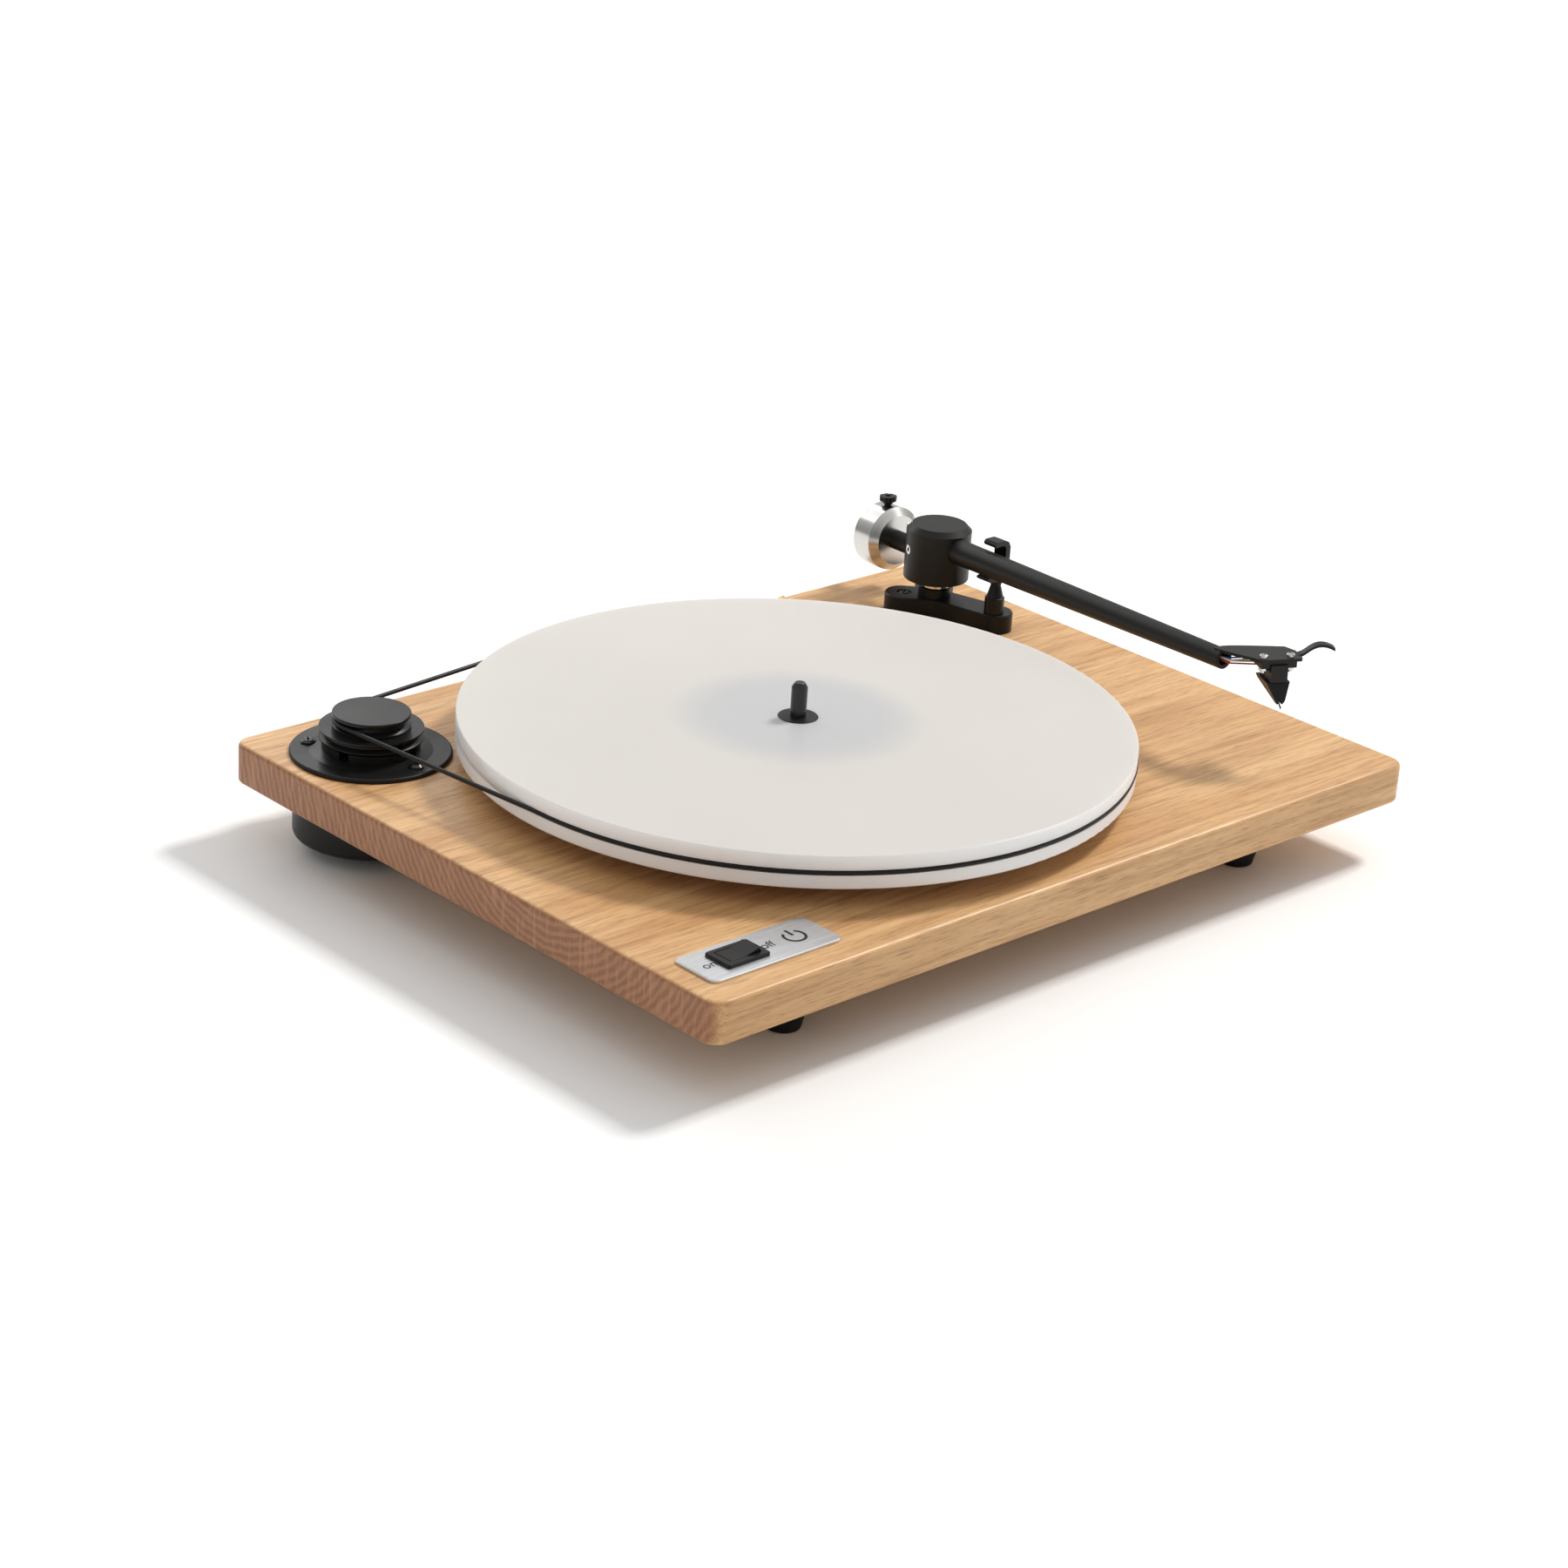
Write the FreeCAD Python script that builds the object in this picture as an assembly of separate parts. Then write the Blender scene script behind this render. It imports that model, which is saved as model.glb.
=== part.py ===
import FreeCAD
import Part
import math
import os

V = FreeCAD.Vector
up = V(0, 0, 1)

# Belt-driven record player. Millimetres, +X to the right, +Y to the back, +Z up.
# It is laid out from the middle of the plinth at table height, and the last step
# moves it so that the origin is on the table, under the middle of the whole.

# plinth
plinth_length = 419.0
plinth_depth = 319.5
plinth_thick = 19.0
plinth_corner = 8.0
plinth_round = 2.2
foot_height = 25.0
foot_bottom_r = 7.5
foot_top_r = 13.0
foot_dx = 139.0
foot_dy = 124.0
top_z = foot_height + plinth_thick
under_z = foot_height

# clearances
run_gap = 0.05
seat_gap = 0.02
move_gap = 0.3

# platter and its bearing
platter_x = -24.0
platter_y = -3.0
platter_r = 149.2
platter_thick = 14.5
platter_rise = 8.8
belt_rise = 16.0
hub_r = 50.0
hub_neck_r = 9.0
spindle_r = 3.6
shaft_r = 3.0
spindle_rise = 16.0
spindle_nose = 2.2
housing_r = 9.0
housing_flange_r = 16.0
housing_drop = 11.0

# motor, pulley and belt
motor_x = -168.0
motor_y = 113.7
motor_disc_r = 35.6
motor_disc_thick = 2.0
motor_can_r = 34.0
motor_r = 23.5
belt_r = 1.0
groove_r = belt_r + move_gap
motor_speed = 300.0
slow_speed = 100.0 / 3.0
fast_speed = 45.0
belt_on_platter_r = platter_r - 0.6
belt_on_pulley_r = belt_on_platter_r * slow_speed / motor_speed
fast_groove_r = belt_on_platter_r * fast_speed / motor_speed
pulley_flange_r = fast_groove_r + 0.6
pulley_cap_r = belt_on_pulley_r + 0.7

# switch
switch_x = -163.75
switch_y = -133.5
switch_length = 68.5
switch_width = 25.0
switch_thick = 1.3
bezel_x = -175.0
bezel_length = 22.0
bezel_width = 15.0
rocker_length = 16.0
rocker_width = 9.6

# tonearm
pivot_x = 165.3
pivot_y = 101.6
arm_yaw = -5.7
arm_pitch = 2.5
arm_rise = 35.6
pitch_rise = 33.7
stub_drop = 6.5
bearing_turn = 158.0
drum_r = 16.0
drum_low = 18.5
drum_high = 46.0
drum_cavity_r = 12.6
tube_big_r = 6.3
tube_small_r = 4.7
tube_length = 196.0
tube_wall = 1.0
post_r = 4.0
collar_r = 7.3
boss_r = 8.0
base_thick = 9.4
boss_top = 13.8
offset_angle = 24.0
screw_mid_u = 12.4
screw_mid_v = 222.8
screw_pitch = 12.7
plate_top = 4.7
plate_thick = 1.4
stub_r = 4.75
stub_end = 58.6
weight_r = 16.0
weight_face_r = 12.4
weight_taper = 3.6
weight_front = 31.0
weight_back = 46.7
rest_x = 171.6
rest_y = 67.0


def cyl(r, h, x=0.0, y=0.0, z=0.0, d=up):
    return Part.makeCylinder(r, h, V(x, y, z), d)


def cone(r1, r2, h, x=0.0, y=0.0, z=0.0, d=up):
    return Part.makeCone(r1, r2, h, V(x, y, z), d)


def box(x1, x2, y1, y2, z1, z2):
    return Part.makeBox(x2 - x1, y2 - y1, z2 - z1, V(x1, y1, z1))


def ring(r_out, r_in, h, x, y, z):
    return cyl(r_out, h, x, y, z).cut(cyl(r_in, h + 2, x, y, z - 1))


def slab(points, z1, z2):
    wire = Part.makePolygon([V(x, y, z1) for x, y in points] + [V(points[0][0], points[0][1], z1)])
    return Part.Face(wire).extrude(V(0, 0, z2 - z1))


def roundBox(cx, cy, lx, ly, r, z1, z2):
    body = box(cx - lx / 2, cx + lx / 2, cy - ly / 2, cy + ly / 2, z1, z2)
    uprights = [e for e in body.Edges if abs(e.Vertexes[0].X - e.Vertexes[1].X) < 1e-6
                and abs(e.Vertexes[0].Y - e.Vertexes[1].Y) < 1e-6]
    return body.makeFillet(r, uprights)


def link(x1, y1, r1, x2, y2, r2, z1, z2):
    # two upright cylinders joined by the walls tangent to both
    dist = math.hypot(x2 - x1, y2 - y1)
    head = math.atan2(y2 - y1, x2 - x1)
    lean = math.acos((r1 - r2) / dist)
    spots = []
    for cx, cy, r, side in ((x1, y1, r1, 1), (x2, y2, r2, 1), (x2, y2, r2, -1), (x1, y1, r1, -1)):
        a = head + side * lean
        spots.append((cx + r * math.cos(a), cy + r * math.sin(a)))
    body = slab(spots, z1, z2)
    return body.fuse(cyl(r1, z2 - z1, x1, y1, z1)).fuse(cyl(r2, z2 - z1, x2, y2, z1)).removeSplitter()


def fuseAll(shapes):
    body = shapes[0]
    for s in shapes[1:]:
        body = body.fuse(s)
    return body.removeSplitter()


def cutAll(body, shapes):
    for s in shapes:
        body = body.cut(s)
    return body


def edgesAt(shape, z, tol=1e-4):
    found = []
    for e in shape.Edges:
        b = e.BoundBox
        if abs(b.ZMin - z) < tol and abs(b.ZMax - z) < tol:
            found.append(e)
    return found


def torus(big, small, x, y, z):
    return Part.makeTorus(big, small, V(x, y, z), up)


def crossHead(r, thick, x, y, z, d=up, slot=0.0):
    # a low domed head whose cross recess opens at the top; z is its seat
    head = cyl(r, thick * 0.45, 0, 0, 0).fuse(cone(r, r * 0.62, thick * 0.55, 0, 0, thick * 0.45))
    depth = thick * 0.7
    wide = r * 0.24
    long = r * 0.62
    for turn in (0, 90):
        bar = box(-long, long, -wide / 2, wide / 2, thick - depth, thick + 1)
        bar.rotate(V(0, 0, 0), up, turn + slot)
        head = head.cut(bar)
    head.Placement = FreeCAD.Placement(V(x, y, z), FreeCAD.Rotation(up, d))
    return head


def hexagon(r, h, x, y, z, turn=0.0):
    pts = [(x + r * math.cos(math.radians(60 * i + turn)), y + r * math.sin(math.radians(60 * i + turn)))
           for i in range(6)]
    return slab(pts, z, z + h)


nodes = {}

# ---- feet -------------------------------------------------------------------
foot_spots = [(-foot_dx, -foot_dy), (foot_dx, -foot_dy), (0.0, foot_dy)]
foot_screw_r = 2.0
foot_screw_bite = 11.0
feet = []
foot_screws = []
foot_pilots = []
for fx, fy in foot_spots:
    foot = cone(foot_bottom_r, foot_top_r, foot_height, fx, fy, 0)
    foot = foot.makeFillet(1.2, edgesAt(foot, 0.0) + edgesAt(foot, foot_height))
    foot = foot.cut(cyl(4.6, 12.0, fx, fy, -1))
    foot = foot.cut(cyl(foot_screw_r + seat_gap, foot_height + 2, fx, fy, -1))
    feet.append(foot)
    head = crossHead(4.2, 2.4, fx, fy, 11.0 - 0.01, V(0, 0, -1))
    shank = cyl(foot_screw_r, foot_height - 11.0 + foot_screw_bite, fx, fy, 11.0 - 0.01)
    foot_screws.append(head.fuse(shank))
    foot_pilots.append(cyl(foot_screw_r + seat_gap, foot_screw_bite + 0.5, fx, fy, under_z - 0.01))
nodes["feet"] = Part.makeCompound(feet)
nodes["foot_screws"] = Part.makeCompound(foot_screws)

# ---- plinth board -----------------------------------------------------------
plinth = roundBox(0, 0, plinth_length, plinth_depth, plinth_corner, under_z, top_z)
plinth = plinth.makeFillet(plinth_round, edgesAt(plinth, top_z) + edgesAt(plinth, under_z))
motor_screw_spots = []
for a in (26.0, 131.0, 277.0):
    motor_screw_spots.append((motor_x + 28.0 * math.cos(math.radians(a)),
                              motor_y + 28.0 * math.sin(math.radians(a))))
base_screw_spots = [(155.0, 112.4), (176.6, 113.0)]
terminal_x = 128.0
terminal_z = under_z + plinth_thick / 2
terminal_half = 29.0
jack_xs = (terminal_x - 16.0, terminal_x)
ground_x = terminal_x + 16.0
back_y = plinth_depth / 2
inlet_x = -168.0
cuts = [
    cyl(housing_r + seat_gap, plinth_thick + 2, platter_x, platter_y, under_z - 1),
    cyl(motor_r + 1.2, plinth_thick + 2, motor_x, motor_y, under_z - 1),
    roundBox(bezel_x, switch_y, bezel_length - 2.4, bezel_width - 2.4, 1.0, under_z - 1, top_z + 1),
    cyl(post_r + seat_gap, plinth_thick + 2, pivot_x, pivot_y, under_z - 1),
]
for sx, sy in motor_screw_spots:
    cuts.append(cyl(1.6 + seat_gap, 11.5, sx, sy, top_z - 11.5))
for sx, sy in base_screw_spots:
    cuts.append(cyl(1.6 + seat_gap, 11.5, sx, sy, top_z - 11.5))
cuts.append(cyl(2.5 + seat_gap, 8.2, rest_x, rest_y, top_z - 8.2))
for jx in jack_xs:
    cuts.append(cyl(5.0, 18.2, jx, back_y - 18.0, terminal_z, V(0, 1, 0)))
cuts.append(cyl(2.0 + seat_gap, 8.2, ground_x, back_y - 8.0, terminal_z, V(0, 1, 0)))
for tx in (terminal_x - terminal_half + 3.4, terminal_x + terminal_half - 3.4):
    cuts.append(cyl(1.1 + seat_gap, 8.2, tx, back_y - 8.0, terminal_z, V(0, 1, 0)))
cuts.append(cyl(5.6 + seat_gap, 15.2, inlet_x, back_y - 15.0, terminal_z, V(0, 1, 0)))
plinth = cutAll(plinth, cuts + foot_pilots)
nodes["plinth"] = plinth

# ---- platter bearing --------------------------------------------------------
housing = cyl(housing_r, top_z - under_z + housing_drop, platter_x, platter_y, under_z - housing_drop)
housing = housing.fuse(cyl(housing_flange_r, 2.0, platter_x, platter_y, top_z))
housing = housing.makeChamfer(0.6, edgesAt(housing, top_z + 2.0))
housing = housing.cut(cyl(shaft_r + run_gap, 40, platter_x, platter_y, under_z - housing_drop + 2.0))
nodes["bearing_housing"] = housing
ball_r = 2.5
nodes["thrust_ball"] = Part.makeSphere(ball_r, V(platter_x, platter_y, under_z - housing_drop + 2.0 + ball_r))
nodes["bearing_washer"] = ring(14.0, housing_r + seat_gap, 1.2, platter_x, platter_y, under_z - 1.2)
nut = hexagon(14.5, 5.0, platter_x, platter_y, under_z - 6.2)
nodes["bearing_nut"] = nut.cut(cyl(housing_r + seat_gap, 8, platter_x, platter_y, under_z - 7.5))

# ---- platter, hub and spindle -----------------------------------------------
platter_low = top_z + platter_rise
platter_high = platter_low + platter_thick
belt_z = top_z + belt_rise
platter = cyl(platter_r, platter_thick, platter_x, platter_y, platter_low)
platter = platter.makeFillet(0.7, edgesAt(platter, platter_low) + edgesAt(platter, platter_high))
platter = platter.cut(torus(belt_on_platter_r, groove_r, platter_x, platter_y, belt_z))
platter = platter.cut(cyl(hub_neck_r + seat_gap, platter_thick + 2, platter_x, platter_y, platter_low - 1))
nodes["platter"] = platter
hub_low = top_z + 2.5
hub = cyl(hub_r, platter_low - hub_low, platter_x, platter_y, hub_low)
hub = hub.fuse(cyl(hub_neck_r, platter_high + 0.3 - hub_low, platter_x, platter_y, hub_low))
hub = hub.makeChamfer(0.3, edgesAt(hub, platter_high + 0.3))
for i in range(6):
    a = math.radians(60 * i + 15)
    hub = hub.cut(cyl(9.0, 20, platter_x + 32 * math.cos(a), platter_y + 32 * math.sin(a), hub_low - 9.0))
hub = hub.cut(cyl(shaft_r + seat_gap, 40, platter_x, platter_y, hub_low - 1))
label_low = platter_high + 0.3
nodes["hub"] = hub
shaft_low = under_z - housing_drop + 2.0 + 2 * ball_r + 0.1
spindle = cyl(shaft_r, label_low - shaft_low, platter_x, platter_y, shaft_low)
nose_low = platter_high + spindle_rise - spindle_nose
spindle = spindle.fuse(cyl(spindle_r, nose_low - label_low, platter_x, platter_y, label_low))
nose = cone(spindle_r, 2.2, spindle_nose, platter_x, platter_y, nose_low)
spindle = spindle.fuse(nose)
spindle = spindle.makeFillet(0.6, edgesAt(spindle, platter_high + spindle_rise))
nodes["spindle"] = spindle

# ---- motor ------------------------------------------------------------------
disc = cyl(motor_disc_r, motor_disc_thick, motor_x, motor_y, top_z)
disc = disc.makeFillet(1.1, edgesAt(disc, top_z + motor_disc_thick))
rim_low = top_z + motor_disc_thick
disc = disc.fuse(cone(27.0, 22.0, 0.9, motor_x, motor_y, rim_low))
collar = ring(21.5, 18.5, 4.6, motor_x, motor_y, rim_low)
disc = disc.fuse(collar)
for a in (20.0, 110.0, 200.0, 290.0):
    slot = box(10.0, 24.0, -2.4, 2.4, rim_low + 1.0, rim_low + 8.0)
    slot.rotate(V(0, 0, 0), up, a)
    slot.translate(V(motor_x, motor_y, 0))
    disc = disc.cut(slot)
disc = disc.cut(cyl(6.0, 12, motor_x, motor_y, top_z - 1))
for sx, sy in motor_screw_spots:
    disc = disc.cut(cyl(1.6 + seat_gap, 12, sx, sy, top_z - 1))
    disc = disc.cut(cyl(3.6, 10, sx, sy, rim_low))
ear_spots = [(motor_x + 11.0, motor_y), (motor_x - 11.0, motor_y)]
for sx, sy in ear_spots:
    disc = disc.cut(cyl(1.25 + seat_gap, 12, sx, sy, top_z - 1))
nodes["motor_base"] = disc
screws = []
for i, (sx, sy) in enumerate(motor_screw_spots):
    head = crossHead(3.3, 1.6, sx, sy, rim_low, slot=20.0 + 40 * i)
    screws.append(head.fuse(cyl(1.6, 11.0 + motor_disc_thick, sx, sy, rim_low - 11.0 - motor_disc_thick)))
nodes["motor_base_screws"] = Part.makeCompound(screws)

motor_low = 20.0
motor = cyl(motor_r, top_z - motor_low, motor_x, motor_y, motor_low)
motor = motor.makeFillet(1.5, edgesAt(motor, motor_low))
motor = motor.cut(cyl(1.6, 40, motor_x, motor_y, motor_low + 4.0))
motor = motor.cut(cyl(5.0, 3.0, motor_x, motor_y, top_z - 3.0))
for sx, sy in ear_spots:
    motor = motor.cut(cyl(1.25 + seat_gap, 8, sx, sy, top_z - 8))
can_low = 6.4
can_wall = 1.6
post_spots = [(motor_x + 15.0, motor_y), (motor_x - 15.0, motor_y)]
for sx, sy in post_spots:
    motor = motor.fuse(cyl(3.4, motor_low + 1.0 - can_low - can_wall, sx, sy, can_low + can_wall))
    motor = motor.cut(cyl(1.5 + seat_gap, 9.0, sx, sy, can_low + can_wall - 1.0))
nodes["motor"] = motor
screws = []
for sx, sy in ear_spots:
    screws.append(crossHead(2.2, 1.3, sx, sy, rim_low + 0.9).fuse(cyl(1.25, 9.5, sx, sy, rim_low + 0.9 - 9.5)))
nodes["motor_screws"] = Part.makeCompound(screws)
can = cyl(motor_can_r, under_z - can_low, motor_x, motor_y, can_low)
can = can.makeFillet(3.0, edgesAt(can, can_low))
can_room = cyl(motor_can_r - can_wall, under_z - can_low, motor_x, motor_y, can_low + can_wall)
can = can.cut(can_room.makeFillet(1.8, edgesAt(can_room, can_low + can_wall)))
for sx, sy in post_spots:
    can = can.cut(cyl(1.5 + seat_gap, 9.0, sx, sy, can_low - 1.0))
nodes["motor_can"] = can
screws = []
for sx, sy in post_spots:
    screws.append(crossHead(2.9, 1.5, sx, sy, can_low, V(0, 0, -1)).fuse(cyl(1.5, 7.5, sx, sy, can_low)))
nodes["can_screws"] = Part.makeCompound(screws)

# motor shaft, stepped pulley and its set screw
pulley_low = rim_low + 5.6
slow_z = belt_z
cap_top = top_z + 19.5
shaft = cyl(1.5, cap_top - 2.0 - (motor_low + 4.3), motor_x, motor_y, motor_low + 4.3)
nodes["motor_shaft"] = shaft
fast_z = pulley_low + 2.6
steps = [
    (pulley_flange_r, pulley_low, fast_z + 2.5),
    (pulley_cap_r, fast_z + 2.5, cap_top),
]
pulley = fuseAll([cyl(r, b - a, motor_x, motor_y, a) for r, a, b in steps])
pulley = pulley.makeFillet(0.5, edgesAt(pulley, cap_top) + edgesAt(pulley, pulley_low))
pulley = pulley.cut(torus(fast_groove_r, groove_r, motor_x, motor_y, fast_z))
pulley = pulley.cut(torus(belt_on_pulley_r, groove_r, motor_x, motor_y, slow_z))
pulley = pulley.cut(ring(30.0, pulley_cap_r - 1.1, 1.4, motor_x, motor_y, slow_z - 0.7))
pulley = pulley.cut(ring(17.0, 7.0, 3.0, motor_x, motor_y, pulley_low - 1.0))
pulley = pulley.cut(cyl(1.5 + seat_gap, cap_top - 1.9 - pulley_low + 1, motor_x, motor_y, pulley_low - 1))
for r_out, r_in, z, half_open, half_floor in ((pulley_flange_r, fast_groove_r - 1.7, fast_z, 1.8, 0.5),
                                              (pulley_cap_r, belt_on_pulley_r - 1.5, slow_z, 2.2, 0.9)):
    trim = [(r_in, half_floor), (r_in, -half_floor), (r_out + 0.1, -half_open), (r_out + 0.1, half_open)]
    pts = [V(motor_x + r, motor_y, z + h) for r, h in trim]
    vee = Part.Face(Part.makePolygon(pts + [pts[0]])).revolve(V(motor_x, motor_y, 0), up, 360)
    pulley = pulley.cut(vee)
set_z = fast_z
pulley = pulley.cut(cyl(1.3 + seat_gap, 30, motor_x, motor_y, set_z, V(0, -1, 0)))
nodes["pulley"] = pulley
grub = cyl(1.3, 5.0, motor_x, motor_y - 1.55, set_z, V(0, -1, 0))
nodes["pulley_set_screw"] = grub.cut(cyl(0.7, 2.5, motor_x, motor_y - 4.6, set_z, V(0, -1, 0)))

# belt round the platter groove and the upper pulley groove
dist = math.hypot(motor_x - platter_x, motor_y - platter_y)
aim = math.atan2(motor_y - platter_y, motor_x - platter_x)
lean = math.acos((belt_on_platter_r - belt_on_pulley_r) / dist)


def onRound(cx, cy, r, a):
    return V(cx + r * math.cos(a), cy + r * math.sin(a), belt_z)


p1 = onRound(platter_x, platter_y, belt_on_platter_r, aim + lean)
p2 = onRound(platter_x, platter_y, belt_on_platter_r, aim - lean)
pm = onRound(platter_x, platter_y, belt_on_platter_r, aim + math.pi)
q1 = onRound(motor_x, motor_y, belt_on_pulley_r, aim + lean)
q2 = onRound(motor_x, motor_y, belt_on_pulley_r, aim - lean)
qm = onRound(motor_x, motor_y, belt_on_pulley_r, aim)
path = Part.Wire([Part.Arc(p1, pm, p2).toShape(), Part.makeLine(p2, q2),
                  Part.Arc(q2, qm, q1).toShape(), Part.makeLine(q1, p1)])
hoop = Part.Wire([Part.makeCircle(belt_r, p1, p1 - q1)])
belt = path.makePipeShell([hoop], True, True)
nodes["belt"] = belt

# ---- switch -----------------------------------------------------------------
plate = roundBox(switch_x, switch_y, switch_length, switch_width, 3.5, top_z, top_z + switch_thick)
plate = plate.makeChamfer(0.45, edgesAt(plate, top_z + switch_thick))
plate = plate.cut(roundBox(bezel_x, switch_y, bezel_length - 2.4, bezel_width - 2.4, 1.0, top_z - 1, top_z + 4))
nodes["switch_plate"] = plate
bezel_low = top_z + switch_thick
bezel = roundBox(bezel_x, switch_y, bezel_length, bezel_width, 1.2, bezel_low, bezel_low + 1.5)
bezel = bezel.makeChamfer(0.4, edgesAt(bezel, bezel_low + 1.5))
shell = roundBox(bezel_x, switch_y, bezel_length - 2.5, bezel_width - 2.5, 0.9, under_z + 3.0, bezel_low)
body = bezel.fuse(shell)
room_l = rocker_length + 2 * move_gap
room_w = rocker_width + 2 * move_gap
body = body.cut(box(bezel_x - room_l / 2, bezel_x + room_l / 2, switch_y - room_w / 2,
                    switch_y + room_w / 2, top_z - 7.5, bezel_low + 3))
for bx in (-6.0, 0.0, 6.0):
    body = body.fuse(box(bezel_x + bx - 0.4, bezel_x + bx + 0.4, switch_y - 2.4, switch_y + 2.4,
                         under_z - 4.0, under_z + 3.0))
rock_z = top_z + 1.2
body = body.cut(cyl(1.2 + run_gap, room_w + 1.6, bezel_x, switch_y - room_w / 2 - 0.8, rock_z, V(0, 1, 0)))
nodes["switch_body"] = body
half = rocker_length / 2
sink = 6.5
tilt = 8.0
profile = [(-half, -3.6), (-half, 1.9), (-half + 1.0, 2.5), (0.0, 1.5), (half - 1.0, 2.5), (half, 1.9), (half, -3.6)]
pts = [V(bezel_x + x, switch_y - rocker_width / 2, rock_z + z) for x, z in profile]
rocker = Part.Face(Part.makePolygon(pts + [pts[0]])).extrude(V(0, rocker_width, 0))
rocker = rocker.common(cyl(half - 0.1, rocker_width, bezel_x, switch_y - rocker_width / 2, rock_z, V(0, 1, 0)))
rocker = rocker.fuse(cyl(1.2, rocker_width + 1.8, bezel_x, switch_y - rocker_width / 2 - 0.9, rock_z, V(0, 1, 0)))
rocker.rotate(V(bezel_x, switch_y, rock_z), V(0, 1, 0), -tilt)
nodes["rocker"] = rocker

# ---- rear sockets -----------------------------------------------------------
tplate = box(terminal_x - terminal_half, terminal_x + terminal_half, back_y, back_y + 1.2,
             terminal_z - 6.5, terminal_z + 6.5)
for jx in jack_xs:
    tplate = tplate.cut(cyl(4.4 + seat_gap, 4, jx, back_y - 1, terminal_z, V(0, 1, 0)))
tplate = tplate.cut(cyl(2.0 + seat_gap, 4, ground_x, back_y - 1, terminal_z, V(0, 1, 0)))
screws = []
for tx in (terminal_x - terminal_half + 3.4, terminal_x + terminal_half - 3.4):
    tplate = tplate.cut(cyl(1.1 + seat_gap, 4, tx, back_y - 1, terminal_z, V(0, 1, 0)))
    screws.append(crossHead(2.1, 1.2, tx, back_y + 1.2, terminal_z, V(0, 1, 0))
                  .fuse(cyl(1.1, 8.5, tx, back_y - 7.3, terminal_z, V(0, 1, 0))))
nodes["terminal_plate"] = tplate
nodes["terminal_screws"] = Part.makeCompound(screws)
jacks = []
socket_reach = 11.2
for jx in jack_xs:
    jack = cyl(4.4, 16.0, jx, back_y - 14.0, terminal_z, V(0, 1, 0))
    jack = jack.fuse(cyl(5.6, 1.6, jx, back_y + 1.2, terminal_z, V(0, 1, 0)))
    jack = jack.fuse(cyl(4.15, socket_reach - 1.2, jx, back_y + 1.2, terminal_z, V(0, 1, 0)))
    jack = jack.cut(cyl(1.65, 12.0, jx, back_y + socket_reach - 10.0, terminal_z, V(0, 1, 0)))
    jacks.append(jack)
nodes["signal_sockets"] = Part.makeCompound(jacks)
gpost = cyl(2.0, 15.5, ground_x, back_y - 7.5, terminal_z, V(0, 1, 0))
gnut = cyl(4.0, 4.0, ground_x, back_y + 2.0, terminal_z, V(0, 1, 0))
nodes["ground_post"] = gpost.fuse(gnut).fuse(cyl(3.2, 0.8, ground_x, back_y + 1.2, terminal_z, V(0, 1, 0)))
inlet = cyl(5.6, 14.5, inlet_x, back_y - 14.5, terminal_z, V(0, 1, 0))
inlet = inlet.fuse(cyl(7.2, 1.8, inlet_x, back_y, terminal_z, V(0, 1, 0)))
inlet = inlet.cut(cyl(2.8, 11.0, inlet_x, back_y - 8.0, terminal_z, V(0, 1, 0)))
inlet = inlet.fuse(cyl(1.0, 8.0, inlet_x, back_y - 9.0, terminal_z, V(0, 1, 0)))
nodes["power_inlet"] = inlet

# ---- tonearm base -----------------------------------------------------------
base_top = top_z + base_thick
lobes = [link(pivot_x, pivot_y, boss_r + 0.5, sx, sy, 9.5, top_z, base_top) for sx, sy in base_screw_spots]
front_lobe = link(pivot_x + 0.6, pivot_y, boss_r, rest_x + 2.4, rest_y + 1.0, 8.5, top_z, base_top)
base = fuseAll(lobes + [front_lobe])
base = base.makeChamfer(0.5, edgesAt(base, base_top))
base = base.fuse(cyl(boss_r, boss_top - base_thick, pivot_x, pivot_y, base_top))
base = base.cut(cyl(post_r + seat_gap, 40, pivot_x, pivot_y, top_z - 1))
base = base.cut(cyl(2.5 + seat_gap, 40, rest_x, rest_y, top_z - 1))
screws = []
for i, (sx, sy) in enumerate(base_screw_spots):
    base = base.cut(cyl(1.6 + seat_gap, 20, sx, sy, top_z - 1))
    base = base.cut(cyl(3.6, 20, sx, sy, base_top - 1.4))
    head = crossHead(3.4, 1.5, sx, sy, base_top - 1.4, slot=30.0 + 20 * i)
    screws.append(head.fuse(cyl(1.6, 19.0, sx, sy, base_top - 1.4 - 19.0)))
nodes["arm_base"] = base
nodes["arm_base_screws"] = Part.makeCompound(screws)
post_low = under_z - 9.0
post_high = top_z + 38.0
pivot_post = cyl(post_r, post_high - 2.0 - post_low, pivot_x, pivot_y, post_low)
pivot_post = pivot_post.fuse(cone(post_r, 0.8, 2.0, pivot_x, pivot_y, post_high - 2.0))
nodes["pivot_post"] = pivot_post
nodes["pivot_washer"] = ring(9.0, post_r + seat_gap, 1.0, pivot_x, pivot_y, under_z - 1.0)
nodes["pivot_nut"] = hexagon(7.5, 4.5, pivot_x, pivot_y, under_z - 5.5).cut(
    cyl(post_r + seat_gap, 10, pivot_x, pivot_y, under_z - 8))

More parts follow.
